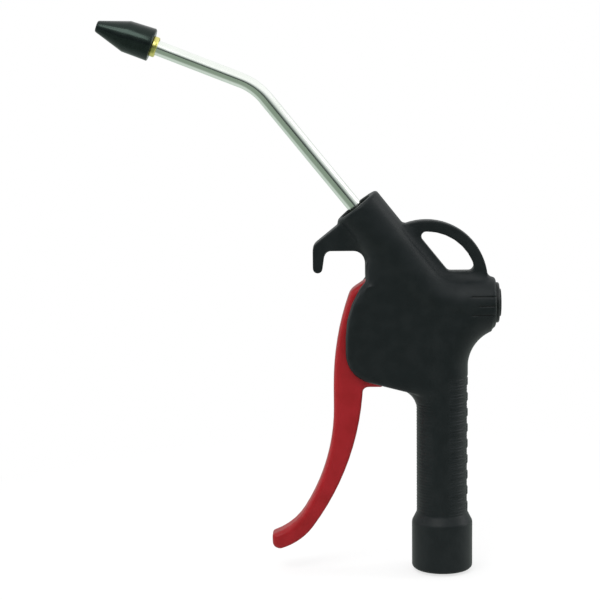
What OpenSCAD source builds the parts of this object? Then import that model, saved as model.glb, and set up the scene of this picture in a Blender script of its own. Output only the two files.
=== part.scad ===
// Pistol-grip air duster with a bent nozzle, a rubber tip and a lever trigger.
// Millimetres, +Z up. The origin is the centre of the air inlet's mouth, the
// handle's axis is +Z, the nozzle points towards -X and Y is across the body.

/* [Handle and collar] */
// Diameter of the round handle
handle_d = 24.3; // [23:0.1:25]
// Height of the valve's axis above the inlet's mouth
valve_z = 128; // [120:0.5:140]
// Diameter of the collar round the air inlet
collar_d = 28.8; // [27:0.1:32]
// Height of the collar below its sloping shoulder
collar_h = 23; // [22:0.5:30]
// Height of the sloping shoulder above the collar
shoulder_h = 4.4; // [2:0.1:8]
// Bevel round the collar's bottom edge
collar_bevel = 1.2; // [0.4:0.1:2]

/* [Head] */
// Diameter of the valve boss, which runs back along the valve's axis
boss_d = 24.4; // [23.4:0.1:26]
// How far the valve boss reaches behind the handle's axis
boss_reach = 25; // [24:0.5:30]
// Rounding of the valve boss's rear edge
boss_round = 1.8; // [0.5:0.1:2.2]
// Diameter of the nozzle boss at its rim
nozzle_boss_d = 23.5; // [22:0.1:24]
// Length of the nozzle's axis inside the body, from the valve's axis to the rim
nozzle_boss_len = 58.8; // [56:0.1:64]
// How far in front of the handle's axis the nozzle's axis meets the valve's
nozzle_foot = 3.7; // [3.4:0.1:4.2]
// Slope of the nozzle's axis above the horizontal, in degrees
nozzle_tilt = 51.1; // [50:0.1:53]
// Lean of the nozzle boss's outside against its bore, in degrees
boss_lean = 1; // [0:0.1:1.5]
// Radius of the head's middle line where the two bosses run into each other
neck_r = 28; // [26:0.5:32]

/* [Bulb] */
// Thickness of the bulb, across the body
bulb_t = 22.4; // [21:0.1:23.2]
// Rounding of the bulb's edges
bulb_round = 2.8; // [1:0.1:3]
// Radius of the bulb's lower front corner
chin_r = 14.4; // [13:0.1:15]
// How far in front of the handle's axis the chin's centre lies
chin_reach = 31; // [30:0.1:32]
// How far below the valve's axis the chin's centre lies
chin_drop = 22.6; // [21:0.1:24]
// Radius of the bulb's front above the chin
brow_r = 43; // [40:0.5:46]
// How far below the valve's axis the centre of that radius lies
brow_drop = 15; // [13:0.1:17]
// Radius of the concave blend from the bulb's underside to the handle
throat_r = 9.5; // [8.5:0.1:10.5]
// Radius of the concave blend from the handle to the valve boss
back_r = 18.2; // [16:0.1:20]

/* [Hook and hanging eye] */
// Thickness of the hook, across the body
hook_t = 9; // [6:0.1:12]
// Width of the hook's bar at its end, seen from the side
hook_w = 4.6; // [4:0.1:6]
// How far in front of the handle's axis the hook's outer side lies
hook_reach = 60.5; // [58:0.1:64]
// Width of the gap behind the hook's bar
hook_gap = 19.8; // [18:0.1:20.5]
// Height of the gap's roof above the valve's axis
hook_roof = 25.3; // [24:0.1:26]
// How far the hook's end hangs below the gap's roof
hook_drop = 10.5; // [8:0.1:12]
// Thickness of the hanging eye's plate, across the body
eye_t = 7; // [5:0.1:9]
// Outer radius of the hanging eye
eye_r = 28.8; // [27:0.1:30]
// Width of the hanging eye's outer band
eye_band = 5.3; // [4:0.1:7]

/* [Trigger] */
// Width of the trigger, across the body
trigger_t = 12.4; // [11:0.1:13]
// How far the pivot lies in front of the handle's axis
pivot_reach = 33.5; // [33:0.1:34]
// How far the pivot lies above the valve's axis
pivot_rise = 6.7; // [6.4:0.1:7]
// Diameter of the pivot pin
pin_d = 3; // [2.5:0.1:3.4]
// Radius of the trigger's hub round the pin
hub_r = 5.2; // [4.8:0.1:5.3]
// How far in front of the handle's axis the trigger's face lies at its middle
face_reach = 51.2; // [50.5:0.1:52]
// Radius of the trigger's face above the middle
face_r = 130.5; // [127:0.5:134]
// Radius of the trigger's top front corner
crown_r = 7.5; // [7:0.1:8]
// Radius of the trigger's face below the middle
sweep_r = 91.6; // [89:0.1:94]
// Radius of the trigger's face near the toe
toe_sweep_r = 28.3; // [27:0.1:30]
// Radius of the trigger's rear face
back_sweep_r = 124.3; // [121:0.1:128]
// Radius of the toe's lower corner
toe_r = 3; // [2.6:0.1:3.4]

/* [Air inlet] */
// Diameter of the inlet's thread, taken at the crests of the 1/4 in. female thread
inlet_d = 11.45; // [11:0.05:12]
// Length of the inlet's thread
inlet_len = 14; // [12:0.5:16]
// Outer diameter of the brass bushing
bushing_d = 18.4; // [17:0.1:19]
// Length of the brass bushing
bushing_len = 19; // [17:0.5:20]
// Diameter of the air passage through the handle
passage_d = 6.5; // [5:0.1:6.5]

/* [Valve] */
// Outer diameter of the brass valve sleeve
sleeve_d = 12.9; // [12:0.1:13.4]
// Length of the sleeve's fat part, from its shoulder to its seat end
sleeve_len = 17.4; // [17:0.1:17.6]
// Diameter of the valve stem
stem_d = 3; // [2.4:0.1:3.2]
// Diameter of the sleeve's flow bore
flow_d = 6.4; // [5.6:0.1:6.6]
// Diameter of the poppet
poppet_d = 10; // [9.2:0.1:10.6]
// Outer diameter of the valve spring
spring_d = 8.7; // [8:0.1:9]
// Diameter of the spring's wire
wire_d = 0.9; // [0.7:0.05:1]
// Number of the spring's turns
spring_turns = 7; // [5:1:9]

/* [Rear plug] */
// Diameter of the plug's flange
plug_flange_d = 19; // [18:0.1:20.5]
// Thickness of the plug's flange
plug_flange_h = 1.6; // [1:0.1:2.4]
// Diameter of the plug's raised end
plug_end_d = 13; // [10:0.1:14]
// Height of the plug's raised end
plug_end_h = 1.3; // [1:0.1:2]
// Diameter of the plug's threaded part
plug_d = 15.4; // [15:0.1:16]
// Length of the plug's threaded part
plug_len = 9.5; // [8:0.1:10]

/* [Nozzle] */
// Outer diameter of the nozzle tube
tube_d = 7; // [6:0.1:7.2]
// Wall of the nozzle tube
tube_wall = 1; // [0.6:0.1:1.4]
// Length of the lower run, from the boss's rim to the corner of the bend
lower_run = 72.5; // [60:0.1:90]
// Length of the upper run, from the corner of the bend to the rubber tip
upper_run = 51.2; // [40:0.1:70]
// Slope of the upper run above the horizontal, in degrees
upper_tilt = 21.6; // [10:0.1:40]
// Radius of the bend along the tube's middle line
bend_r = 28; // [20:1:40]
// Diameter of the recess in the nozzle boss
recess_d = 16.6; // [16:0.1:18]
// Depth of the recess in the nozzle boss
recess_h = 8.5; // [7:0.1:10]
// Width of the adaptor's hexagon across its flats
hex_w = 13; // [12:0.1:13.4]
// Diameter of the adaptor's threaded part
adaptor_d = 11.9; // [11:0.1:12.4]

/* [Rubber tip] */
// Diameter of the rubber tip
tip_d = 15.5; // [15:0.1:18]
// Diameter of the rubber tip's shoulder
tip_shoulder_d = 14.8; // [14:0.1:16]
// Length of the rubber tip
tip_len = 27.2; // [24:0.1:32]
// Length of the rubber tip's straight rear part
tip_straight = 12.6; // [12:0.1:16]
// Diameter of the rubber tip's front end
tip_end_d = 5.2; // [5:0.1:8]
// How far the rubber tip leans off the tube's line, in degrees
tip_lean = 2.2; // [0:0.1:3]
// Diameter of the air outlet in the rubber tip
outlet_d = 2.6; // [2:0.1:3.2]
// Diameter of the brass fitting's collar behind the rubber tip
fitting_d = 9.6; // [9.4:0.1:11]
// Length of the brass fitting's collar behind the rubber tip
fitting_h = 2.5; // [2:0.1:5]

/* [Hidden] */
$fn = 96;

body_colour = [0.11, 0.125, 0.13];
trigger_colour = [0.65, 0.12, 0.14];
brass_colour = [0.78, 0.62, 0.28];
steel_colour = [0.72, 0.74, 0.73];
rubber_colour = [0.09, 0.1, 0.1];
seal_colour = [0.16, 0.16, 0.17];

// Clearances: a shaft that turns or slides, a piece seated in its bore, a
// rubber ring in its groove, two faces that part, and the overrun of a cut.
running_gap = 0.05;
seat_gap = 0.05;
ring_gap = 0.03;
face_gap = 0.3;
side_gap = 0.3;
seal_lift = 0.1;
over = 1;

// A bent stretch runs on by this angle inside the straight ones, and is this
// much slimmer, so that they join in one clean edge.
lap = 1;
slim = 0.05;

// Places that the named sizes give.
handle_r = handle_d / 2;
collar_r = collar_d / 2;
boss_r = boss_d / 2;
nozzle_rim_r = nozzle_boss_d / 2;
nozzle_dir = [-cos(nozzle_tilt), 0, sin(nozzle_tilt)];
nozzle_side = [sin(nozzle_tilt), 0, cos(nozzle_tilt)];
nozzle_root = [-nozzle_foot, 0, valve_z];
neck_run = neck_r * tan(nozzle_tilt / 2);
neck_centre = [neck_run - nozzle_foot, 0, valve_z + neck_r];
pivot = [-pivot_reach, 0, valve_z + pivot_rise];

// Round sections of the rubber rings, and the depth and length of a groove.
ring_t = 1.3;
ring_r = ring_t / 2 - ring_gap;
groove_len = 1.6;

// The valve's places along its axis, measured from the handle's axis.
slot_wall_reach = 22.5;
slot_wall_x = -slot_wall_reach;
nose_wall = 2.5;
shoulder_x = slot_wall_x + nose_wall;
seat_x = shoulder_x + sleeve_len;
seat_lip_h = 0.4;
seat_lip_w = 0.8;
nose_r = 3.5;
nose_len = 1.5;
stem_out = 4.3;
seal_t = 1.5;
seal_inset = 0.9;
seal_d = poppet_d - seal_inset;
seal_x = seat_x + seat_lip_h + seal_lift;
poppet_x = seal_x + seal_t;
poppet_t = 3.2;
spigot_d = 6.2;
spigot_len = 3;
plug_x = boss_reach - plug_len;
pocket_len = 5;
pocket_clear = 0.35;
valve_bore_r = sleeve_d / 2 + seat_gap;
plug_bore_r = plug_d / 2 + seat_gap;
front_ring_inset = 1.5;
rear_ring_inset = 2.4;
front_ring_x = shoulder_x + front_ring_inset;
rear_ring_x = seat_x - rear_ring_inset;
relief_inset = 7.8;
relief_end = 3.2;
relief_from = shoulder_x + relief_inset;
relief_to = seat_x - relief_end;
port_hole_d = 3.4;
stem_len = 29.4;

// The nozzle's joints at the boss and at the rubber tip.
adaptor_len = 12;
hex_h = 3.8;
tube_hidden = 15;
tip_tube_in = 7;
fitting_in = 11;
fitting_in_r = 4.4;
ridge_z = 6;
ridge_len = 2;
ridge_h = 0.8;

// The trigger slot.
slot_w = trigger_t + 2 * side_gap;
slot_roof = pivot.z + hub_r + face_gap;
slot_back_reach = 12.4;
slot_step_drop = 8.5;
slot_bend_drop = 35.6;
slot_lip_reach = 17.2;
slot_lip_drop = 38.6;
slot_lip_rise = 1.2;
slot_foot = 58;

// Points on a round stretch, from one angle to another.
function arc(centre, r, from, to, steps) =
    [for (i = [0 : steps]) centre + r * [cos(from + (to - from) * i / steps), sin(from + (to - from) * i / steps)]];

// A flat shape drawn in X and Z, given a thickness across the body.
module plate(thickness) {
    rotate([90, 0, 0]) linear_extrude(height = thickness, center = true) children();
}

// Children drawn along +Z are turned to lie along the valve's axis from x.
module on_valve(x) {
    translate([x, 0, valve_z]) rotate([0, 90, 0]) children();
}

// Children drawn along +Z are turned to run out of the nozzle boss's rim.
module on_rim() {
    translate(nozzle_root + nozzle_boss_len * nozzle_dir) rotate([0, nozzle_tilt - 90, 0]) children();
}

// Children drawn along +Z are turned to run along the upper run, from the end
// of the bend.
bend = nozzle_tilt - upper_tilt;
bend_run = bend_r * tan(bend / 2);
module on_upper() {
    on_rim() translate([-bend_r, 0, lower_run - bend_run]) rotate([0, -bend, 0]) translate([bend_r, 0, 0]) children();
}

// Children drawn along +Z run on from the rubber tip's rear face.
module on_tip() {
    on_upper() translate([0, 0, upper_run - bend_run]) children();
}

// A ring of round section, lying flat about +Z.
module ring(middle_r, section_r) {
    rotate_extrude() translate([middle_r, 0]) circle(r = section_r, $fn = 48);
}

module body() {
    color(body_colour) difference() {
        body_skin();
        body_cuts();
    }
}

// Everything solid in the moulding, before its bores and slot are cut.
module body_skin() {
    cylinder(h = valve_z, r = handle_r);
    collar();
    valve_boss();
    neck();
    nozzle_boss();
    bulb();
    throat();
    brow();
    elbow();
    plate(hook_t) hook_outline();
    plate(eye_t) eye_outline();
}

module collar() {
    rotate_extrude() polygon([
        [0, 0],
        [collar_r - collar_bevel, 0],
        [collar_r, collar_bevel],
        [collar_r, collar_h],
        [handle_r, collar_h + shoulder_h],
        [0, collar_h + shoulder_h]
    ]);
}

module valve_boss() {
    round_centre = [boss_r - boss_round, boss_reach - neck_centre.x - boss_round];
    on_valve(neck_centre.x) rotate_extrude() polygon(concat(
        [[0, 0], [boss_r, 0]],
        arc(round_centre, boss_round, 0, 90, 8),
        [[0, boss_reach - neck_centre.x]]
    ));
}

// The neck carries the valve boss round into the nozzle boss.
module neck() {
    translate(neck_centre) rotate([90, 0, 0]) rotate([0, 0, -90 - nozzle_tilt - lap])
        rotate_extrude(angle = nozzle_tilt + 2 * lap) translate([neck_r, 0]) circle(r = boss_r - slim);
}

module nozzle_boss() {
    rim_bevel = 0.8;
    long = nozzle_boss_len - neck_run;
    on_rim() translate([0, 0, -long]) rotate([0, boss_lean, 0]) rotate_extrude() polygon([
        [0, 0],
        [boss_r, 0],
        [nozzle_rim_r, long - rim_bevel],
        [nozzle_rim_r - rim_bevel, long],
        [0, long]
    ]);
}

// The bulb is one smooth form stretched over discs with rounded rims. Those
// along the front touch its long curve from the chin up to the nozzle boss.
module bulb() {
    front_r = 6;
    front_x = brow_r - chin_reach - chin_r;
    rear_r = 11;
    rear_reach = 7.5;
    rear_top_drop = 9;
    rear_low_drop = 32.2;
    hull() {
        disc([-chin_reach, -chin_drop], chin_r);
        for (turn = [0 : 11 : 44])
            disc([front_x, -brow_drop] + (brow_r - front_r) * [-cos(turn), sin(turn)], front_r);
        disc([-rear_reach, -rear_top_drop], rear_r);
        disc([-rear_reach, -rear_low_drop], rear_r);
    }
}

// Above the bulb's front, the cheeks run up the hook's gap to the nozzle boss.
module brow() {
    round_r = 6;
    thinner = 1.2;
    wall_in = 0.25;
    wall_x = -hook_reach + hook_w + hook_gap + wall_in + round_r;
    low_rise = 10.5;
    top_rise = 17.5;
    back_run = 8;
    back_rise = 14;
    hull() {
        disc([wall_x, low_rise], round_r, bulb_t - thinner);
        disc([wall_x, top_rise], round_r, bulb_t - thinner);
        disc([wall_x + back_run, back_rise], round_r, bulb_t - thinner);
    }
}

// A disc with rounded rims, placed from the handle's and the valve's axes.
module disc(place, r, wide = bulb_t) {
    half = wide / 2;
    soft = min(bulb_round, r);
    rim = arc([r - soft, half - soft], soft, 0, 90, 4);
    translate([place.x, 0, valve_z + place.y]) rotate([90, 0, 0]) rotate_extrude($fn = 32) polygon(concat(
        [[0, -half]],
        [for (i = [len(rim) - 1 : -1 : 0]) [rim[i].x, -rim[i].y]],
        rim,
        [[0, half]]
    ));
}

// The handle's front sweeps forwards into the bulb's underside.
module throat() {
    middle_r = throat_r + handle_r;
    turn = 74;
    throat_drop = 50.8;
    throat_z = valve_z - throat_drop;
    intersection() {
        translate([-middle_r, 0, throat_z]) rotate([90, 0, 0]) rotate([0, 0, -lap])
            rotate_extrude(angle = turn + lap) translate([middle_r, 0]) circle(r = handle_r - slim);
        translate([-collar_d, -(bulb_t - side_gap) / 2, throat_z - collar_r])
            cube([collar_d, bulb_t - side_gap, collar_d + collar_r]);
    }
}

// The handle sweeps back into the valve boss as a round elbow.
module elbow() {
    middle_r = back_r + handle_r;
    lean = asin((middle_r - boss_reach) / middle_r);
    intersection() {
        translate([middle_r, 0, valve_z - middle_r]) rotate([90, 0, 0]) rotate([0, 0, 90 + lean / 2])
            rotate_extrude(angle = 90 + lap - lean / 2) translate([middle_r, 0]) circle(r = handle_r - slim);
        translate([boss_reach - boss_round - collar_d, -collar_r, valve_z - 2 * middle_r])
            cube([collar_d, collar_d, 3 * middle_r]);
    }
}

module hook_outline() {
    out_x = -hook_reach;
    in_x = out_x + hook_w;
    notch_x = in_x + hook_gap;
    roof = valve_z + hook_roof;
    foot = roof - hook_drop;
    tip_r = hook_w / 2;
    elbow_r = 5;
    inner_r = 2;
    notch_r = 5.5;
    bar_taper = 0.9;
    slope = 39;
    elbow = [out_x + elbow_r, roof];
    arm = elbow + elbow_r * [-sin(slope), cos(slope)];
    arm_len = 14;
    web_foot = slot_roof - hook_w;
    polygon(concat(
        [[notch_x + notch_r, web_foot], [notch_x, web_foot]],
        arc([notch_x - notch_r, roof - notch_r], notch_r, 0, 90, 8),
        arc([in_x + bar_taper + inner_r, roof - inner_r], inner_r, 90, 180, 6),
        arc([out_x + tip_r, foot + tip_r], tip_r, 0, -180, 12),
        arc(elbow, elbow_r, 180, 90 + slope, 8),
        [arm + arm_len * [cos(slope), sin(slope)], [notch_x + notch_r, roof + notch_r]]
    ));
}

// The eye's plate fills the corner above the two bosses. Its hole follows them
// and the eye's round outside.
module eye_outline() {
    mid_reach = 7.5;
    mid_rise = 10.5;
    mid = [-mid_reach, valve_z + mid_rise];
    far = 3 * eye_r;
    root = [nozzle_root.x, nozzle_root.z];
    up = [nozzle_dir.x, nozzle_dir.z];
    side = [nozzle_side.x, nozzle_side.z];
    boss_web = 2.4;
    floor_web = 3.1;
    corner = 2.2;
    edge = root + (boss_r + boss_web) * side;
    floor_z = valve_z + boss_r + floor_web;
    difference() {
        intersection() {
            translate(mid) circle(r = eye_r);
            polygon([root, root + far * up, root + far * (up + side), [far, valve_z]]);
        }
        offset(r = corner, $fn = 32) offset(delta = -corner) intersection() {
            translate(mid) circle(r = eye_r - eye_band);
            polygon([edge - far * up, edge + far * up, edge + far * (up + side), edge + far * (side - up)]);
            translate([-far, floor_z]) square([2 * far, far]);
        }
    }
}

// The bores, the slot and the seats that are cut out of the moulding.
module body_cuts() {
    seat_r = bushing_d / 2 + seat_gap;
    translate([0, 0, -over]) cylinder(h = bushing_len + over, r = seat_r);
    cylinder(h = valve_z, r = passage_d / 2);
    on_valve(shoulder_x) cylinder(h = boss_reach - shoulder_x, r = valve_bore_r);
    on_valve(slot_wall_x - over) cylinder(h = shoulder_x - slot_wall_x + 2 * over, r = nose_r + seat_gap);
    on_valve(plug_x - face_gap) cylinder(h = plug_len + face_gap + over, r = plug_bore_r);
    on_valve(boss_reach - groove_len) cylinder(h = groove_len + over, r = plug_bore_r + ring_t);
    nozzle_cuts();
    plate(slot_w) slot_outline();
    pin_hole();
    side_lines();
}

// Three fine lines run along each side of the valve boss to its rear edge.
module side_lines() {
    line_w = 0.7;
    line_h = 0.5;
    spread = 20.5;
    long_line = 11.5;
    short_line = 8.5;
    for (side = [90, 270])
        for (lean = [-spread, 0, spread]) {
            long = lean == 0 ? short_line : long_line;
            on_valve(boss_reach - long) rotate([0, 0, side + lean])
                translate([boss_r - line_h, -line_w / 2, 0]) cube([line_h + over, line_w, long + over]);
        }
}

module nozzle_cuts() {
    port_d = 4.6;
    on_rim() mirror([0, 0, 1]) {
        translate([0, 0, -over]) cylinder(h = recess_h + over, r = recess_d / 2);
        cylinder(h = recess_h + groove_len, r = adaptor_d / 2 + seat_gap + ring_t);
        cylinder(h = recess_h + adaptor_len + seat_gap, r = adaptor_d / 2 + seat_gap);
        cylinder(h = nozzle_boss_len, r = port_d / 2);
    }
}

// The slot holds the trigger between two cheeks and is open in front and below.
module slot_outline() {
    front = -2 * hook_reach;
    low = valve_z - slot_foot;
    polygon([
        [front, low],
        [-slot_lip_reach, low],
        [-slot_lip_reach, valve_z - slot_lip_drop],
        [-slot_back_reach, valve_z - slot_lip_drop + slot_lip_rise],
        [-slot_back_reach, valve_z - slot_bend_drop],
        [slot_wall_x, valve_z - slot_step_drop],
        [slot_wall_x, slot_roof],
        [front, slot_roof]
    ]);
}

pin_hidden = 8.9;
pin_len = bulb_t / 2 + pin_hidden;
module pin_hole() {
    translate([pivot.x, -pin_hidden, pivot.z]) rotate([-90, 0, 0]) cylinder(h = pin_len + over, r = pin_d / 2 + ring_gap);
}

inlet_ring_inset = 2.6;
inlet_ring_z = bushing_len - inlet_ring_inset;
module inlet_bushing() {
    r = bushing_d / 2;
    grip_h = 0.7;
    grip_r = r - grip_h;
    grip_len = 2;
    low_grip = 4;
    high_grip = 8;
    runout = 1;
    thread_r = inlet_d / 2;
    color(brass_colour) rotate_extrude() polygon([
        [thread_r, 0],
        [r, 0],
        [r, low_grip],
        [grip_r, low_grip],
        [grip_r, low_grip + grip_len],
        [r, low_grip + grip_len],
        [r, high_grip],
        [grip_r, high_grip],
        [grip_r, high_grip + grip_len],
        [r, high_grip + grip_len],
        [r, inlet_ring_z],
        [r - ring_t, inlet_ring_z],
        [r - ring_t, inlet_ring_z + groove_len],
        [r, inlet_ring_z + groove_len],
        [r, bushing_len],
        [passage_d / 2, bushing_len],
        [passage_d / 2, inlet_len + runout],
        [thread_r, inlet_len]
    ]);
}

module inlet_o_ring() {
    color(seal_colour) translate([0, 0, inlet_ring_z + groove_len / 2])
        ring(bushing_d / 2 + seat_gap - ring_t / 2, ring_r);
}

// The sleeve carries the seat, the stem's guide and the side ports.
module valve_sleeve() {
    r = sleeve_d / 2;
    guide_r = stem_d / 2 + running_gap;
    color(brass_colour) difference() {
        rotate_about_valve([
            [shoulder_x - nose_len, guide_r],
            [front_ring_x, guide_r],
            [front_ring_x, guide_r + ring_t],
            [front_ring_x + groove_len, guide_r + ring_t],
            [front_ring_x + groove_len, guide_r],
            [relief_from, guide_r],
            [relief_from, flow_d / 2],
            [seat_x, flow_d / 2],
            [seat_x + seat_lip_h, flow_d / 2],
            [seat_x + seat_lip_h, flow_d / 2 + seat_lip_w],
            [seat_x, flow_d / 2 + seat_lip_w],
            [seat_x, r],
            [rear_ring_x + groove_len, r],
            [rear_ring_x + groove_len, r - ring_t],
            [rear_ring_x, r - ring_t],
            [rear_ring_x, r],
            [relief_to, r],
            [relief_to, r - ring_t],
            [relief_from, r - ring_t],
            [relief_from, r],
            [front_ring_x + groove_len, r],
            [front_ring_x + groove_len, r - ring_t],
            [front_ring_x, r - ring_t],
            [front_ring_x, r],
            [shoulder_x, r],
            [shoulder_x, nose_r],
            [shoulder_x - nose_len, nose_r]
        ]);
        for (turn = [45 : 90 : 315])
            on_valve((relief_from + relief_to) / 2) rotate([0, 0, turn]) rotate([0, 90, 0]) cylinder(h = sleeve_d, d = port_hole_d);
    }
}

// A turned piece on the valve's axis, from points of place and radius.
module rotate_about_valve(points) {
    on_valve(0) rotate_extrude() polygon([for (p = points) [p[1], p[0]]]);
}

module sleeve_front_o_ring() {
    color(seal_colour) on_valve(front_ring_x + groove_len / 2) ring(valve_bore_r - ring_t / 2, ring_r);
}

module sleeve_rear_o_ring() {
    color(seal_colour) on_valve(rear_ring_x + groove_len / 2) ring(valve_bore_r - ring_t / 2, ring_r);
}

module stem_o_ring() {
    color(seal_colour) on_valve(front_ring_x + groove_len / 2) ring(stem_d / 2 + ring_gap + ring_t / 2, ring_r);
}

module valve_stem() {
    r = stem_d / 2;
    color(steel_colour) on_valve(slot_wall_x - stem_out) rotate_extrude() polygon(concat(
        arc([0, r], r, -90, 0, 8),
        [[r, stem_len], [0, stem_len]]
    ));
}

// The poppet screws onto the stem and holds the rubber seal behind the seat.
module poppet() {
    r = poppet_d / 2;
    hole_r = stem_d / 2 + ring_gap;
    hole_to = slot_wall_x - stem_out + stem_len + seat_gap;
    end_x = poppet_x + poppet_t + spigot_len;
    bevel = 0.6;
    color(brass_colour) rotate_about_valve([
        [poppet_x, hole_r],
        [hole_to, hole_r],
        [hole_to, 0],
        [end_x, 0],
        [end_x, spigot_d / 2 - bevel],
        [end_x - bevel, spigot_d / 2],
        [poppet_x + poppet_t, spigot_d / 2],
        [poppet_x + poppet_t, r - bevel],
        [poppet_x + poppet_t - bevel, r],
        [poppet_x, r]
    ]);
}

module poppet_seal() {
    hole_r = stem_d / 2 + ring_gap;
    color(seal_colour) rotate_about_valve([
        [seal_x, hole_r],
        [poppet_x, hole_r],
        [poppet_x, seal_d / 2],
        [seal_x, seal_d / 2]
    ]);
}

// The spring is one unbroken wire with closed ends, eight sections to a turn.
// Its middle line climbs slowly over the first and the last turn.
spring_from = poppet_x + poppet_t + wire_d / 2 + ring_gap;
spring_to = plug_x + pocket_len - wire_d / 2 - ring_gap;
coil_gap = 0.45;
closed_pitch = wire_d + coil_gap;
open_pitch = (spring_to - spring_from - 2 * closed_pitch) / (spring_turns - 2);
function spring_place(t) =
    t < 1 ? closed_pitch * t :
    t < spring_turns - 1 ? closed_pitch + open_pitch * (t - 1) :
    spring_to - spring_from - closed_pitch * (spring_turns - t);
module valve_spring() {
    per_turn = 8;
    sides = 6;
    rings = spring_turns * per_turn;
    middle_r = (spring_d - wire_d) / 2;
    middle = [for (i = [0 : rings]) let (t = i / per_turn)
        [middle_r * cos(t * 360), middle_r * sin(t * 360), spring_place(t)]];
    points = [for (i = [0 : rings]) for (k = [0 : sides - 1])
        let (out = 1 + wire_d / 2 * cos(k * 360 / sides) / middle_r, up = wire_d / 2 * sin(k * 360 / sides))
        [out * middle[i].x, out * middle[i].y, middle[i].z + up]];
    faces = concat(
        [for (k = [1 : sides - 2]) [0, k, k + 1]],
        [for (i = [0 : rings - 1]) for (k = [0 : sides - 1]) let (a = i * sides, b = a + sides, n = (k + 1) % sides)
            each [[a + k, b + k, b + n], [a + k, b + n, a + n]]],
        [for (k = [1 : sides - 2]) [rings * sides, rings * sides + k + 1, rings * sides + k]]
    );
    echo(spring_least_gap = min([for (i = [0 : rings - per_turn]) norm(middle[i + per_turn] - middle[i])]) - wire_d);
    color(steel_colour) on_valve(spring_from) polyhedron(points = points, faces = faces, convexity = 6);
}

// The plug closes the valve's bore, holds the spring in a pocket and is turned
// with a hexagon key.
module rear_plug() {
    end_r = plug_end_d / 2;
    end_x = boss_reach + plug_flange_h + plug_end_h;
    dome = 0.5;
    bevel = 0.5;
    key_w = 6;
    key_h = 3.5;
    color(body_colour) difference() {
        rotate_about_valve([
            [plug_x, spring_d / 2 + pocket_clear],
            [plug_x + pocket_len, spring_d / 2 + pocket_clear],
            [plug_x + pocket_len, 0],
            [end_x, 0],
            [end_x - dome, end_r],
            [boss_reach + plug_flange_h, end_r],
            [boss_reach + plug_flange_h, plug_flange_d / 2 - bevel],
            [boss_reach + plug_flange_h - bevel, plug_flange_d / 2],
            [boss_reach, plug_flange_d / 2],
            [boss_reach, plug_d / 2],
            [plug_x, plug_d / 2]
        ]);
        on_valve(end_x - key_h) cylinder(h = key_h + over, d = key_w / cos(30), $fn = 6);
    }
}

module plug_o_ring() {
    color(seal_colour) on_valve(boss_reach - groove_len / 2) ring(plug_d / 2 + seat_gap + ring_t / 2, ring_r);
}

// The trigger's outline runs up the face, round the hub, down the rear edge in
// the slot and down the rear face to the toe.
module trigger() {
    color(trigger_colour) difference() {
        plate(trigger_t) trigger_outline();
        translate(pivot) rotate([90, 0, 0]) cylinder(h = 2 * trigger_t, r = pin_d / 2 + running_gap, center = true);
    }
}

module trigger_outline() {
    face_drop = 39.1;
    sweep_drop = 49.7;
    crown_rise = 43.3;
    knee_fall = 48.8;
    toe_run = 9.3;
    toe_fall = 26.9;
    face_z = valve_z - face_drop;
    sweep_z = valve_z - sweep_drop;
    crown_turn = asin(crown_rise / face_r);
    sweep_turn = asin(knee_fall / sweep_r);
    toe_turn = atan2(toe_fall, toe_run);
    toe_top_r = 1.5;
    hub = [pivot.x, pivot.z];
    face_c = [face_r - face_reach, face_z];
    crown_c = face_c + (face_r - crown_r) * [-cos(crown_turn), sin(crown_turn)];
    gap = hub - crown_c;
    lean = atan2(gap.y, gap.x) + acos((crown_r - hub_r) / norm(gap));
    sweep_c = [-face_reach - sweep_r, sweep_z];
    toe_sweep_c = sweep_c + (sweep_r - toe_sweep_r) * [cos(sweep_turn), -sin(sweep_turn)];
    toe_top_c = toe_sweep_c + (toe_sweep_r + toe_top_r) * [cos(toe_turn), -sin(toe_turn)];
    back_toe_run = 6.9;
    back_toe_fall = 25.2;
    back_toe_turn = atan2(back_toe_fall, back_toe_run);
    toe_in = 4.45;
    toe_down = 6;
    toe_ease = 0.7;
    back_toe_r = toe_sweep_r + toe_ease;
    back_toe_c = toe_sweep_c + [toe_in, -toe_down];
    back_reach = 37.2;
    back_x = -back_reach - back_sweep_r;
    back_run = back_toe_c.x - back_x;
    back_rise = sqrt(pow(back_sweep_r - back_toe_r, 2) - pow(back_run, 2));
    back_c = [back_x, back_toe_c.y + back_rise];
    back_turn = atan2(back_rise, back_run);
    toe_c = back_toe_c + (back_toe_r - toe_r) * [cos(back_toe_turn), -sin(back_toe_turn)];
    web_reach = 27.4;
    web_drop = 39.3;
    web_z = valve_z - web_drop;
    web_r = 2;
    crook_r = 2.2;
    crook_z = web_z - crook_r;
    crook_x = back_x + sqrt(pow(back_sweep_r, 2) - pow(back_c.y - crook_z, 2));
    back_from = asin((back_c.y - crook_z + crook_r) / back_sweep_r);
    pad_x = slot_wall_x - stem_out - face_gap;
    polygon(concat(
        arc(toe_sweep_c, toe_sweep_r, -toe_turn, -sweep_turn, 5),
        arc(sweep_c, sweep_r, -sweep_turn, 0, 10),
        arc(face_c, face_r, 180, 180 - crown_turn, 8),
        arc(crown_c, crown_r, 180 - crown_turn, lean, 4),
        arc(hub, hub_r, lean, 0, 10),
        [[pad_x, pivot.z - 0.6 * hub_r], [pad_x, valve_z - 0.9 * hub_r], [pad_x - 0.4 * hub_r, valve_z - 1.3 * hub_r]],
        arc([-web_reach - web_r, web_z + web_r], web_r, 0, -90, 4),
        arc([crook_x + crook_r, crook_z], crook_r, 90, 180, 4),
        arc(back_c, back_sweep_r, -back_from, -back_turn, 11),
        arc(back_toe_c, back_toe_r, -back_turn - lap, lap - back_toe_turn, 7),
        arc(toe_c, toe_r, -back_toe_turn, -180, 6),
        arc(toe_top_c, toe_top_r, -180, -180 - toe_turn, 4)
    ));
}

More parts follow.
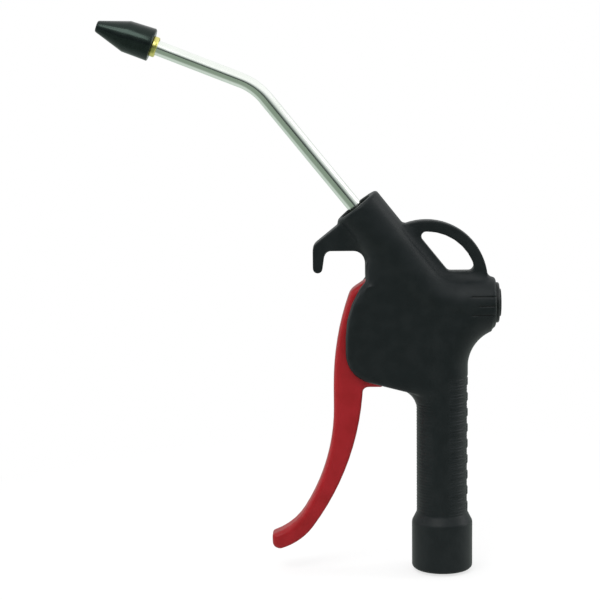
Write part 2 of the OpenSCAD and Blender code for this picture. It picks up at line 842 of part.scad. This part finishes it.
module trigger_pin() {
    bevel = 0.3;
    r = pin_d / 2;
    long = pin_len - 2 * seat_gap - bevel;
    color(steel_colour) translate([pivot.x, seat_gap - pin_hidden, pivot.z]) rotate([-90, 0, 0]) rotate_extrude() polygon([
        [0, 0],
        [r - bevel, 0],
        [r, bevel],
        [r, long - bevel],
        [r - bevel, long],
        [0, long]
    ]);
}

// The adaptor screws into the nozzle boss and carries the brazed tube.
module nozzle_adaptor() {
    flange_h = 1.2;
    flange_gap = 0.4;
    flange_r = recess_d / 2 - flange_gap;
    tube_bore_r = tube_d / 2 + seat_gap;
    color(brass_colour) on_rim() difference() {
        union() {
            translate([0, 0, -recess_h - adaptor_len]) cylinder(h = adaptor_len, d = adaptor_d);
            translate([0, 0, -recess_h]) cylinder(h = flange_h, r = flange_r);
            translate([0, 0, -recess_h]) cylinder(h = flange_h + hex_h, d = hex_w / cos(30), $fn = 6);
        }
        translate([0, 0, -tube_hidden]) cylinder(h = tube_hidden, r = tube_bore_r);
        translate([0, 0, -recess_h - adaptor_len - over]) cylinder(h = adaptor_len + over, r = tube_d / 2 - tube_wall);
    }
}

module nozzle_o_ring() {
    color(seal_colour) on_rim() translate([0, 0, -recess_h - groove_len / 2])
        ring(adaptor_d / 2 + seat_gap + ring_t / 2, ring_r);
}

module nozzle_tube() {
    color(steel_colour) difference() {
        tube_run(tube_d / 2, 0);
        tube_run(tube_d / 2 - tube_wall, over);
    }
}

// The two straight runs and the bend between them, as a solid of one radius.
module tube_run(r, extra) {
    on_rim() translate([0, 0, -tube_hidden + seat_gap - extra])
        cylinder(h = tube_hidden - seat_gap + extra + lower_run - bend_run, r = r);
    on_rim() translate([-bend_r, 0, lower_run - bend_run]) rotate([90, 0, 0]) rotate([0, 0, -lap])
        rotate_extrude(angle = bend + 2 * lap) translate([bend_r, 0]) circle(r = r - slim);
    on_upper() cylinder(h = upper_run - bend_run + tip_tube_in + extra, r = r);
}

// The fitting is brazed to the tube's end and holds the rubber tip by a ridge.
module tip_fitting() {
    r = fitting_d / 2;
    bevel = 0.4;
    tube_bore_r = tube_d / 2 + seat_gap;
    dish_w = 0.45;
    dish_r = tube_bore_r + dish_w;
    dish_h = 0.7;
    color(brass_colour) on_tip() rotate_extrude() polygon([
        [dish_r, -fitting_h],
        [r - bevel, -fitting_h],
        [r, bevel - fitting_h],
        [r, 0],
        [fitting_in_r, 0],
        [fitting_in_r, ridge_z],
        [fitting_in_r + ridge_h, ridge_z],
        [fitting_in_r, ridge_z + ridge_len],
        [fitting_in_r, fitting_in],
        [outlet_d / 2, fitting_in],
        [outlet_d / 2, tip_tube_in + seat_gap],
        [tube_bore_r, tip_tube_in + seat_gap],
        [tube_bore_r, dish_h - fitting_h],
        [dish_r, dish_h - fitting_h]
    ]);
}

// The rubber sits a little askew, so its outside and its outlet lean about a
// point inside, and its socket follows the brass fitting.
module on_lean() {
    lean_z = 9;
    on_tip() translate([0, 0, lean_z]) rotate([0, -tip_lean, 0]) translate([0, 0, -lean_z]) children();
}

module rubber_tip() {
    r = tip_d / 2;
    end_r = tip_end_d / 2;
    end_round = 1;
    bevel = 0.6;
    hole_r = fitting_in_r + ring_gap;
    slant = atan2(tip_shoulder_d / 2 - end_r, tip_len - tip_straight);
    nose_c = [end_r - end_round * tan(45 - slant / 2), tip_len - end_round];
    color(rubber_colour) difference() {
        on_lean() rotate_extrude() polygon(concat(
            [[0, 0], [r - bevel, 0], [r, bevel], [tip_shoulder_d / 2, tip_straight]],
            arc(nose_c, end_round, slant, 90, 5),
            [[0, tip_len]]
        ));
        on_tip() rotate_extrude() polygon([
            [0, -over],
            [r + over, -over],
            [r + over, 0],
            [hole_r, 0],
            [hole_r, ridge_z - ring_gap],
            [hole_r + ridge_h, ridge_z - ring_gap],
            [hole_r, ridge_z + ridge_len + ring_gap],
            [hole_r, fitting_in + ring_gap],
            [0, fitting_in + ring_gap]
        ]);
        on_lean() translate([0, 0, ridge_z]) cylinder(h = tip_len, r = outlet_d / 2);
    }
}

body();
inlet_bushing();
inlet_o_ring();
valve_sleeve();
sleeve_front_o_ring();
sleeve_rear_o_ring();
stem_o_ring();
valve_stem();
poppet();
poppet_seal();
valve_spring();
rear_plug();
plug_o_ring();
trigger();
trigger_pin();
nozzle_adaptor();
nozzle_o_ring();
nozzle_tube();
tip_fitting();
rubber_tip();
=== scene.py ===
import math

import bmesh
import bpy
import numpy as np
from mathutils import Matrix, Vector


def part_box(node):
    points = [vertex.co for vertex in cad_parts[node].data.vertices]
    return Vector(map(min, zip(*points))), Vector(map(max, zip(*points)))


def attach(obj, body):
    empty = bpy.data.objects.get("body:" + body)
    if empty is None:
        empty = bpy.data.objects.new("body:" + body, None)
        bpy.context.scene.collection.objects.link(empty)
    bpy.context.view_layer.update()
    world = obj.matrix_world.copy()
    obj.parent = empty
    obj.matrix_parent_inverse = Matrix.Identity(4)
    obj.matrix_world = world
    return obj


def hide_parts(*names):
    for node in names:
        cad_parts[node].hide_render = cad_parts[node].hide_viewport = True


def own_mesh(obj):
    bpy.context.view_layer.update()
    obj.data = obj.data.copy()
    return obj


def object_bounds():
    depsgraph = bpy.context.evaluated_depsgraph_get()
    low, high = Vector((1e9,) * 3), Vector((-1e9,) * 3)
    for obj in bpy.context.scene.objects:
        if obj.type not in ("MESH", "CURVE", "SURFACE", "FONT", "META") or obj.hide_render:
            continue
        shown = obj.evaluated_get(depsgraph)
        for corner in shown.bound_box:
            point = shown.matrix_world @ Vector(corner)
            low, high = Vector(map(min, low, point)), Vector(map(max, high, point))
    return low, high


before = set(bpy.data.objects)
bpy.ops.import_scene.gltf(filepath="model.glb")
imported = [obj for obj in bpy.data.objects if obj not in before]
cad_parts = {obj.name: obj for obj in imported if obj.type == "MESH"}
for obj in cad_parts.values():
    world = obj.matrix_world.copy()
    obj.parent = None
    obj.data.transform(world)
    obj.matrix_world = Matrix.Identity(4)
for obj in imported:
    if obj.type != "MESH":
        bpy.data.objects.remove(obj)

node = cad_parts
cad_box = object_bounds()


# The moulded body. Handle, collar, valve boss, nozzle boss, bulb, hook and eye
# are one injection moulding in black glass-filled nylon, with a fine matte
# grain, soft edges and finger grooves round the back of the handle.
def settle(piece):
    """Makes what the modifiers give the piece's own mesh."""
    bpy.context.view_layer.update()
    ready = piece.evaluated_get(bpy.context.evaluated_depsgraph_get())
    piece.data = bpy.data.meshes.new_from_object(ready)
    piece.modifiers.clear()


def netted(source, name, grid):
    """A copy of a CAD node as an even net of small faces."""
    piece = bpy.data.objects.new(name, source.data.copy())
    bpy.context.scene.collection.objects.link(piece)
    net = piece.modifiers.new("net", "REMESH")
    net.mode = "VOXEL"
    net.voxel_size = grid
    settle(piece)
    return piece


def thin_out(piece, share):
    """Keeps a share of the faces, fewest where the surface is flat, shaded smooth."""
    thin = piece.modifiers.new("thin", "DECIMATE")
    thin.ratio = share
    settle(piece)
    piece.data.shade_smooth()


weld_gap = 1e-7


def points_of(mesh):
    flat = np.empty(len(mesh.vertices) * 3)
    mesh.vertices.foreach_get("co", flat)
    return flat.reshape(-1, 3)


def set_points(mesh, points):
    mesh.vertices.foreach_set("co", points.astype(np.float32).ravel())
    mesh.update()


def normals_of(mesh):
    flat = np.empty(len(mesh.vertices) * 3)
    mesh.vertex_normals.foreach_get("vector", flat)
    return flat.reshape(-1, 3)


class Web:
    """Who is joined to whom in a mesh, to draw each point towards its neighbours."""

    def __init__(self, mesh):
        ends = np.empty(len(mesh.edges) * 2, int)
        mesh.edges.foreach_get("vertices", ends)
        ends = ends.reshape(-1, 2)
        self.here = np.concatenate([ends[:, 0], ends[:, 1]])
        self.there = np.concatenate([ends[:, 1], ends[:, 0]])
        self.count = len(mesh.vertices)
        self.joined = np.bincount(self.here, minlength=self.count)[:, None]

    def pull(self, points):
        total = [np.bincount(self.here, points[self.there, i], self.count) for i in range(3)]
        return np.stack(total, 1) / self.joined - points

    def soften(self, points, rounds, share=1.0):
        """Draws points to the middle of their neighbours, each by its share."""
        share = np.broadcast_to(share, self.count)
        some = np.flatnonzero(share > 0)
        spot = np.full(self.count, -1)
        spot[some] = np.arange(len(some))
        used = spot[self.here] >= 0
        here, there = spot[self.here[used]], self.there[used]
        joined, share = self.joined[some], 0.5 * share[some, None]
        points = points.copy()
        for _ in range(rounds):
            total = [np.bincount(here, points[there, i], len(some)) for i in range(3)]
            points[some] += share * (np.stack(total, 1) / joined - points[some])
        return points

    def fill(self, mesh, points, rounds, share):
        """Fills inner corners only: a point moves where its neighbours lie further out."""
        for turn in range(rounds):
            # The normals are taken anew every eighth round.
            if turn % 8 == 0:
                set_points(mesh, points)
                out = normals_of(mesh)
            pull = self.pull(points)
            rise = np.maximum((pull * out).sum(1, keepdims=True), 0)
            points = points + share * rise * out
        return points


def ease(value, low, high):
    t = np.clip((value - low) / (high - low), 0, 1)
    return t * t * (3 - 2 * t)


valve_z = 0.128
pivot_x, pivot_z = -0.0335, 0.1347
tilt = math.radians(51.1)
nozzle_dir = np.array([-math.cos(tilt), 0, math.sin(tilt)])
nozzle_root = np.array([-0.0037, 0, valve_z])
boss_long = 0.0588


def outer_share(points):
    """0 on the bores, the recess, the slot and the pin's hole, which keep their corners."""
    x, y, z = points.T
    along = (points - nozzle_root) @ nozzle_dir
    aside = np.linalg.norm(points - nozzle_root - along[:, None] * nozzle_dir, axis=1)
    off_valve = np.hypot(y, z - valve_z)
    nozzle_bore = (aside < 0.0092) & (along > 0.02)
    valve_bore = (off_valve < 0.0098) & (x > -0.024)
    slot = (np.abs(y) < 0.0068) & (x < -0.0115) & (z < 0.1405) & (z > 0.069)
    handle_bore = (np.hypot(x, y) < 0.0105) & (z < 0.12)
    pin_hole = np.hypot(x - pivot_x, z - pivot_z) < 0.003
    return 1.0 - (nozzle_bore | valve_bore | slot | handle_bore | pin_hole)


# Wide fillets come first, on a coarse net: at the eye, the hook and the bulb's top.
coarse_net, fine_net = 0.0007, 0.0003
fillets = netted(node["body"], "fillets", coarse_net)
skin = points_of(fillets.data)
web = Web(fillets.data)
skin = web.fill(fillets.data, skin, rounds=110, share=0.5 * outer_share(skin)[:, None])
skin = web.soften(skin, rounds=3)
set_points(fillets.data, skin)
sunk = 0.00025
set_points(fillets.data, skin - sunk * normals_of(fillets.data))
both = bmesh.new()
both.from_mesh(node["body"].data)
both.from_mesh(fillets.data)
both.to_mesh(fillets.data)
both.free()
body = netted(fillets, "moulded_body", fine_net)
bpy.data.objects.remove(fillets)
web = Web(body.data)
skin = web.soften(points_of(body.data), rounds=12)

# The near and far faces run smoothly into the two bosses, and the cheeks' upper
# ends into the nozzle boss.
x, y, z = skin.T
along = (skin - nozzle_root) @ nozzle_dir
side = outer_share(skin) * ease(np.abs(y), 0.0085, 0.0100) * ease(z, 0.080, 0.088)
side *= 1 - ease(along, boss_long - 0.006, boss_long - 0.003)
side *= 1 - ease(x, 0.017, 0.021)
side *= ease(x, -0.0435, -0.0400)
skin = web.soften(skin, rounds=70, share=side)
brow = outer_share(skin) * ease(np.abs(y), 0.0068, 0.0090)
brow *= ease(x, -0.0400, -0.0345) * (1 - ease(x, -0.0180, -0.0120))
brow *= ease(z, 0.1330, 0.1380) * (1 - ease(z, 0.1520, 0.1600))
skin = web.soften(skin, rounds=500, share=brow)

# Finger grooves round the back of the handle and, finer, round its front, with
# nine smooth pads down the spine.
x, y, z = skin.T
off_handle = np.hypot(x, y)
handle_r = 0.0120
groove_pitch, groove_depth = 0.0014, 0.00028
pad_pitch, pad_half, first_pad_z = 0.00754, 0.0016, 0.0305
pad_z = (z - first_pad_z) / pad_pitch
pad = 1 - ease(np.abs(pad_z - np.round(pad_z)) * pad_pitch, pad_half, pad_half + 0.0003)
pad *= (1 - ease(np.abs(y), 0.0030, 0.0034)) * ((x > 0) & (z > 0.028) & (z < 0.0935))
where = ease(z, 0.0262, 0.0282) * (1 - ease(z, 0.0925, 0.0945))
where *= np.abs(off_handle - handle_r) < 0.0006
where *= ease(x, 0.0018, 0.0036) + 0.5 * (1 - ease(x, -0.0062, -0.0044))
spine = (x > 0) * (z > 0.0285) * (z < 0.093) * (1 - ease(np.abs(y), 0.0030, 0.0036))
ripple = 0.5 - 0.5 * np.cos(2 * math.pi * z / groove_pitch)
cut = groove_depth * where * (1 - pad) * (ripple + 1.2 * spine)
reach = np.maximum(off_handle, 1e-6)
skin[:, 0] -= cut * x / reach
skin[:, 1] -= cut * y / reach
# Three fine lines run along the valve boss, on each side, to its rear edge.
fine_lines = ((-0.0043, 0.0135), (0, 0.0165), (0.0043, 0.0135))
line_depth = 0.00025
for lean, start in fine_lines:
    line = 1 - ease(np.abs(z - valve_z - lean), 0.00012, 0.0004)
    line *= (np.abs(y) > 0.0095) * ease(x, start - 0.0004, start)
    skin[:, 1] -= line_depth * np.sign(y) * line
set_points(body.data, skin)
thin_out(body, share=0.25)
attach(body, "frame")
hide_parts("body")


class Flow:
    """A shader socket that takes part in Python arithmetic."""

    def __init__(self, nodes, socket):
        self.nodes = nodes
        self.socket = socket

    def _with(self, operation, *values):
        return self.nodes.add("ShaderNodeMath", {"operation": operation}, dict(enumerate(values)))

    def __add__(self, other):
        return self._with("ADD", self, other)

    __radd__ = __add__

    def __sub__(self, other):
        return self._with("SUBTRACT", self, other)

    def __rsub__(self, other):
        return self._with("SUBTRACT", other, self)

    def __mul__(self, other):
        return self._with("MULTIPLY", self, other)

    __rmul__ = __mul__

    def clamped(self):
        """Held between 0 and 1."""
        return self.nodes.add("ShaderNodeClamp", {}, {0: self})

    def slope(self, low, high, first=0.0, last=1.0, kind="LINEAR"):
        """Runs from first at low to last at high, and stays level outside them."""
        ends = {"From Min": low, "From Max": high, "To Min": first, "To Max": last}
        return self.nodes.add("ShaderNodeMapRange", {"interpolation_type": kind}, {"Value": self, **ends})

    def step(self, low, high, first=0.0, last=1.0):
        """As slope, with soft ends."""
        return self.slope(low, high, first, last, "SMOOTHSTEP")

    def between(self, low, high, soft):
        """1 from low to high, fading out over soft on both sides."""
        return self.step(low - soft, low) * (1 - self.step(high, high + soft))


class Nodes:
    """A shader tree that takes one node with each call."""

    def __init__(self, tree):
        self.tree = tree
        self.tree.nodes.clear()

    def add(self, kind, settings=None, sockets=None, out=0):
        made = self.tree.nodes.new(kind)
        for key, value in (settings or {}).items():
            setattr(made, key, value)
        for key, value in (sockets or {}).items():
            self.feed(made.inputs[key], value)
        return Flow(self, made.outputs[out]) if made.outputs else None

    def feed(self, socket, value):
        if isinstance(value, Flow):
            self.tree.links.new(value.socket, socket)
        elif isinstance(value, tuple) and socket.type == "RGBA":
            socket.default_value = (*value, 1)
        else:
            socket.default_value = value

    def parts(self, vector):
        """A vector's X, Y and Z."""
        split = self.add("ShaderNodeSeparateXYZ", {}, {0: vector})
        return [Flow(self, out) for out in split.socket.node.outputs]

    def noise(self, scale, detail=3):
        place = self.add("ShaderNodeTexCoord", out="Object")
        sockets = {"Vector": place, "Scale": scale, "Detail": detail, "Roughness": 0.5}
        return self.add("ShaderNodeTexNoise", {}, sockets)

    def mix(self, share, first, second):
        """From the first colour to the second one."""
        return self.add("ShaderNodeMix", {"data_type": "RGBA"}, {0: share, 6: first, 7: second}, 2)


class Finish(Nodes):
    """A material made of nodes on one Principled shader."""

    def __init__(self, name, **constants):
        self.material = bpy.data.materials.new(name)
        self.material.use_nodes = True
        super().__init__(self.material.node_tree)
        shader = self.add("ShaderNodeBsdfPrincipled")
        self.add("ShaderNodeOutputMaterial", {}, {"Surface": shader})
        self.surface = shader.socket.node
        self.drive(**constants)

    def bump(self, height, depth, strength):
        sockets = {"Height": height, "Distance": depth, "Strength": strength}
        return self.add("ShaderNodeBump", {}, sockets)

    def drive(self, **sockets):
        for socket, value in sockets.items():
            self.feed(self.surface.inputs[socket.replace("_", " ")], value)


def dress(piece, material):
    piece.data.materials.clear()
    piece.data.materials.append(material)
    for face in piece.data.polygons:
        face.material_index = 0


moulding = Finish("black_moulding", Specular_IOR_Level=0.18)
grain = moulding.noise(scale=2600, detail=2)
mottle = moulding.noise(scale=160, detail=4)
along_x, _, up_z = moulding.parts(moulding.add("ShaderNodeTexCoord", out="Object"))
# Painted shade: the base colour darkens along the three fine grooves cut in the valve boss.
lines = 0
for lean, start in fine_lines:
    line = (up_z - (valve_z + lean)).between(-0.00013, 0.00013, soft=0.00012)
    lines += line * along_x.step(start - 0.0003, start)
black = moulding.mix(mottle.step(0.35, 0.7), (0.0062, 0.0092, 0.0100), (0.0088, 0.0120, 0.0128))
# The moulding's black is mixed to a darker colour along the grooves, as painted shade.
moulding.drive(
    Base_Color=moulding.mix(lines, black, (0.003, 0.0035, 0.0035)),
    Roughness=0.40 + 0.1 * mottle,
    Normal=moulding.bump(grain, depth=0.00006, strength=0.55),
)
dress(body, moulding.material)


# The lever. A solid red moulding hinged between the cheeks, with a broad
# smooth face, well rounded in front and less so behind.
def edge_lines(source, level, skip, skip_r):
    """The outline's straight bits on one flat side of a plate, as pairs of X and Z."""
    made = bmesh.new()
    made.from_mesh(source.data)
    bmesh.ops.remove_doubles(made, verts=made.verts, dist=weld_gap)
    hard = 0.5  # the cosine of the least turn between the two faces
    lines = []
    for edge in made.edges:
        ends = [v.co for v in edge.verts]
        if len(edge.link_faces) != 2 or min(e.y for e in ends) < level:
            continue
        if edge.link_faces[0].normal.dot(edge.link_faces[1].normal) > hard:
            continue
        if min((Vector((e.x, e.z)) - Vector(skip)).length for e in ends) < skip_r:
            continue
        lines.append([(e.x, e.z) for e in ends])
    made.free()
    return np.array(lines)


pivot = (pivot_x, pivot_z)
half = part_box("trigger")[1].y
lines = edge_lines(node["trigger"], level=half - 1e-5, skip=pivot, skip_r=0.002)
lever = netted(node["trigger"], "lever", fine_net)
skin = points_of(lever.data)
# Points near both the outline and a flat side are drawn in to a round, whose
# radius grows towards the front face. The pin's hole keeps its edge.
start, run = lines[:, 0], lines[:, 1] - lines[:, 0]
spot = skin[:, [0, 2]]
share = np.einsum("pld,ld->pl", spot[:, None] - start, run) / (run * run).sum(1)
foot = start + np.clip(share, 0, 1)[..., None] * run
gap = np.linalg.norm(spot[:, None] - foot, axis=2)
nearest = gap.argmin(1)
rim = foot[np.arange(len(spot)), nearest]
depth = gap.min(1)
out = normals_of(lever.data)[:, [0, 2]]
inward = spot - rim
near_rim = 0.00025
flat = depth > near_rim
toward = np.where(flat[:, None], -inward / np.maximum(depth, 1e-9)[:, None], out)
toward /= np.maximum(np.linalg.norm(toward, axis=1, keepdims=True), 1e-9)
facing = ease(-toward[:, 0], -0.35, 0.35)
rear_round, more_in_front = 0.0013, 0.0015
round_r = rear_round + more_in_front * facing
depth = np.where(flat, depth, 0)
q_in = np.maximum(round_r - depth, 0)
q_side = np.maximum(np.abs(skin[:, 1]) - (half - round_r), 0)
length = np.hypot(q_in, q_side)
over = np.maximum(length - round_r, 0) / np.maximum(length, 1e-9)
pin_clear = 0.0024
near_pin = np.linalg.norm(spot - np.array(pivot), axis=1) < pin_clear
over[near_pin] = 0
skin[:, [0, 2]] -= (over * q_in)[:, None] * toward
skin[:, 1] -= np.sign(skin[:, 1]) * over * q_side
skin = Web(lever.data).soften(skin, rounds=10)
set_points(lever.data, skin)
thin_out(lever, share=0.3)
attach(lever, "trigger")
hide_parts("trigger")

red = Finish("red_lever", Specular_IOR_Level=0.18)
red_mottle = red.noise(scale=120, detail=3)
red_grain = red.noise(scale=1900, detail=2)
red.drive(
    Base_Color=red.mix(red_mottle.step(0.3, 0.7), (0.235, 0.0058, 0.0080), (0.275, 0.0080, 0.0118)),
    Roughness=0.36 + 0.1 * red_mottle,
    Normal=red.bump(red_grain, depth=0.00005, strength=0.5),
)
dress(lever, red.material)


# The nozzle tube. Drawn brass tube of 7 mm, bent once, polished and chromed,
# and soldered into the adaptor below and the tip's fitting above.
chrome = Finish("chromed_tube", Metallic=1.0)
smear = chrome.noise(scale=90, detail=3)
chrome.drive(
    Base_Color=chrome.mix(smear.step(0.3, 0.75), (0.80, 0.84, 0.79), (0.87, 0.90, 0.86)),
    Roughness=0.09 + 0.08 * smear,
)
dress(node["nozzle_tube"], chrome.material)


# The rubber tip. Glossy black rubber, moulded, and pushed over the ridge of the
# brass fitting. Its edges are rounded as the mould leaves them.
def eased(name, width):
    """A copy of a fixed CAD node with its hard edges rounded, in the node's place."""
    solid = bmesh.new()
    solid.from_mesh(node[name].data)
    bmesh.ops.remove_doubles(solid, verts=solid.verts, dist=weld_gap)
    flat = math.radians(1)
    bmesh.ops.dissolve_limit(solid, angle_limit=flat, verts=solid.verts, edges=solid.edges)
    mesh = bpy.data.meshes.new(name)
    solid.to_mesh(mesh)
    solid.free()
    piece = bpy.data.objects.new("eased_" + name, mesh)
    bpy.context.scene.collection.objects.link(piece)
    bevel = piece.modifiers.new("bevel", "BEVEL")
    bevel.width = width
    bevel.segments = 3
    bevel.limit_method = "ANGLE"
    bevel.angle_limit = math.radians(30)
    settle(piece)
    piece.data.shade_smooth()
    piece.data.set_sharp_from_angle(angle=math.radians(35))
    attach(piece, "frame")
    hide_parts(name)
    return piece


rubber = Finish("tip_rubber", Specular_IOR_Level=0.3, Specular_Tint=(0.72, 1, 0.86))
rubber_mottle = rubber.noise(scale=260, detail=4)
rubber_black = rubber.mix(rubber_mottle.step(0.3, 0.7), (0.0040, 0.0058, 0.0060), (0.0058, 0.0080, 0.0082))
rubber.drive(
    Base_Color=rubber_black,
    Roughness=0.17 + 0.08 * rubber_mottle,
    Normal=rubber.bump(rubber.noise(scale=1500, detail=3), depth=0.00003, strength=0.3),
)
dress(eased("rubber_tip", width=0.0004), rubber.material)


# The brass pieces. Tip fitting, adaptor, inlet bushing, valve sleeve and poppet
# are turned from bar and tumbled, which leaves their shine a little uneven.
brass = Finish("turned_brass", Metallic=1.0)
tumbled = brass.noise(scale=240, detail=2)
brass.drive(
    Base_Color=brass.mix(tumbled.step(0.3, 0.7), (0.66, 0.62, 0.17), (0.75, 0.71, 0.24)),
    Roughness=0.22 + 0.12 * tumbled,
)
turned = (("tip_fitting", 0.00025), ("nozzle_adaptor", 0.0003), ("inlet_bushing", 0.0002))
for name, width in turned:
    dress(eased(name, width), brass.material)
for name in ("valve_sleeve", "poppet"):
    dress(node[name], brass.material)


# The steel pieces. The valve stem, which carries the poppet, and the hinge pin,
# pressed into one cheek, are ground rod. The spring below shares their finish.
steel = Finish("ground_steel", Metallic=1.0)
ground = steel.noise(scale=900, detail=2)
steel.drive(
    Base_Color=steel.mix(ground, (0.5, 0.51, 0.5), (0.62, 0.63, 0.62)),
    Roughness=0.25 + 0.12 * ground,
)
for name in ("valve_stem", "trigger_pin"):
    dress(node[name], steel.material)

# The valve spring. Steel wire coiled between the poppet and the plug, which is
# pressed together as the valve opens.
spring = bpy.data.objects.new("coiled_spring", node["valve_spring"].data.copy())
bpy.context.scene.collection.objects.link(spring)
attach(spring, "frame")
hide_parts("valve_spring")
dress(spring, steel.material)
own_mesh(spring)


# The seals. Moulded nitrile rings in the grooves of the turned pieces, and the
# flat ring on the poppet that closes the valve.
nitrile = Finish("nitrile")
dull = nitrile.noise(scale=500, detail=3)
nitrile.drive(
    Base_Color=nitrile.mix(dull, (0.012, 0.012, 0.012), (0.022, 0.022, 0.022)),
    Roughness=0.5 + 0.15 * dull,
)
for name in ("inlet_o_ring", "sleeve_front_o_ring", "sleeve_rear_o_ring", "stem_o_ring",
             "plug_o_ring", "nozzle_o_ring", "poppet_seal"):
    dress(node[name], nitrile.material)


# The rear plug. A moulded black screw plug with a flange, a raised end and a
# hexagon recess for the key. It closes the valve's chamber.
plug = Finish("plug_moulding", Specular_IOR_Level=0.25)
plug_mottle = plug.noise(scale=240, detail=3)
plug.drive(
    Base_Color=plug.mix(plug_mottle, (0.0062, 0.0085, 0.009), (0.0092, 0.0118, 0.0125)),
    Roughness=0.36 + 0.1 * plug_mottle,
    Normal=plug.bump(plug.noise(scale=2200, detail=2), depth=0.00005, strength=0.4),
)
dress(eased("rear_plug", width=0.0003), plug.material)


# The camera stands where the photographer's did: 9 degrees up, level with the
# object's middle, with a long lens.
stand = Vector((-0.04344, -0.95135, 0.28049))
elevation, azimuth, roll = math.radians(9), math.radians(1.4), math.radians(-0.63)
level_way = Vector((-math.sin(azimuth), math.cos(azimuth), 0))
ahead = level_way * math.cos(elevation) - Vector((0, 0, math.sin(elevation)))
level_right = Vector((math.cos(azimuth), math.sin(azimuth), 0))
level_up = level_right.cross(ahead)
right = level_right * math.cos(roll) + level_up * math.sin(roll)
up = level_up * math.cos(roll) - level_right * math.sin(roll)
lens = bpy.data.cameras.new("camera")
lens.sensor_width = 36
lens.lens = 123
camera = bpy.data.objects.new("camera", lens)
camera.matrix_world = Matrix((
    (right.x, up.x, -ahead.x, stand.x),
    (right.y, up.y, -ahead.y, stand.y),
    (right.z, up.z, -ahead.z, stand.z),
    (0, 0, 0, 1),
))
bpy.context.scene.collection.objects.link(camera)
bpy.context.scene.camera = camera


# The floor. Plain white paper, which takes the object's soft shadow. Polished
# faces see it greyer than the camera does, as a room would shade it.
paper = bpy.data.materials.new("white_paper")
paper.use_nodes = True
sheet = Nodes(paper.node_tree)
rays = ["Is %s Ray" % kind for kind in ("Camera", "Glossy", "Transmission")]
camera_ray, glossy_ray, clear_ray = (sheet.add("ShaderNodeLightPath", out=ray) for ray in rays)
spot = sheet.add("ShaderNodeNewGeometry", out="Position")
away = sheet.add("ShaderNodeVectorMath", {"operation": "LENGTH"}, {0: spot}, "Value")
seen = (camera_ray + glossy_ray + clear_ray).clamped() * away.slope(0.06, 0.30, first=0.70, last=1.0)
near = sheet.parts(spot)[1].slope(-0.02, -0.13)
shade = sheet.mix(near, (0.60, 0.68, 0.62), (0.27, 0.34, 0.27))
tone = sheet.mix(camera_ray, shade, (1, 1, 1))
matt = sheet.add("ShaderNodeBsdfDiffuse", {}, {"Color": (0.86, 0.86, 0.86)})
glow = sheet.add("ShaderNodeEmission", {}, {"Color": tone, "Strength": 1.0})
surface = sheet.add("ShaderNodeMixShader", {}, {0: seen, 1: matt, 2: glow})
sheet.add("ShaderNodeOutputMaterial", {}, {"Surface": surface})
floor_mesh = bpy.data.meshes.new("floor")
far = 3
corners = [(-far, -far, 0), (far, -far, 0), (far, far, 0), (-far, far, 0)]
floor_mesh.from_pydata(corners, [], [(0, 1, 2, 3)])
floor = bpy.data.objects.new("floor", floor_mesh)
floor.location = (0, 0, cad_box[0].z - 0.001)
floor_mesh.materials.append(paper)
bpy.context.scene.collection.objects.link(floor)

# The studio's walls: white behind the object, dim on the camera's side up to
# the height where the soft light overhead begins.
world = bpy.data.worlds.new("studio")
bpy.context.scene.world = world
world.use_nodes = True
sky = Nodes(world.node_tree)
_, way_y, way_z = sky.parts(sky.add("ShaderNodeTexCoord", out="Generated"))
rise = way_z.step(0.02, 0.66, first=0.05, last=1.1)
back = way_z.step(0.05, 0.5, first=0.62, last=1.1)
wall = rise + way_y.step(-0.4, 0.35) * (back - rise)
level = wall + sky.add("ShaderNodeLightPath", out="Is Camera Ray") * (1 - wall)
tint = sky.mix(level, (0.84, 1, 0.93), (1, 1, 1))
glow = sky.add("ShaderNodeBackground", {}, {"Color": tint, "Strength": level})
sky.add("ShaderNodeOutputWorld", {}, {"Surface": glow})


# The lamps. A soft key light stands high in front, to the left, and two weak
# ones at the sides draw the edges of the handle, the lever and the tube.
def lamp(name, place, aim, size, power):
    data = bpy.data.lights.new(name, "AREA")
    data.shape = "RECTANGLE"
    data.size, data.size_y = size
    data.energy = power
    made = bpy.data.objects.new(name, data)
    made.location = place
    made.rotation_euler = (Vector(aim) - Vector(place)).to_track_quat("-Z", "Y").to_euler()
    bpy.context.scene.collection.objects.link(made)


lamp("key_light", place=(-0.35, -0.7, 0.95), aim=(-0.03, 0, 0.13), size=(0.7, 0.5), power=5.5)
lamp("right_light", place=(0.7, 0.05, 0.35), aim=(0, 0, 0.13), size=(0.3, 0.7), power=1.8)
lamp("left_light", place=(-0.9, 0.1, 0.3), aim=(-0.03, 0, 0.13), size=(0.3, 0.7), power=2)

bpy.context.scene.view_settings.view_transform = "Standard"
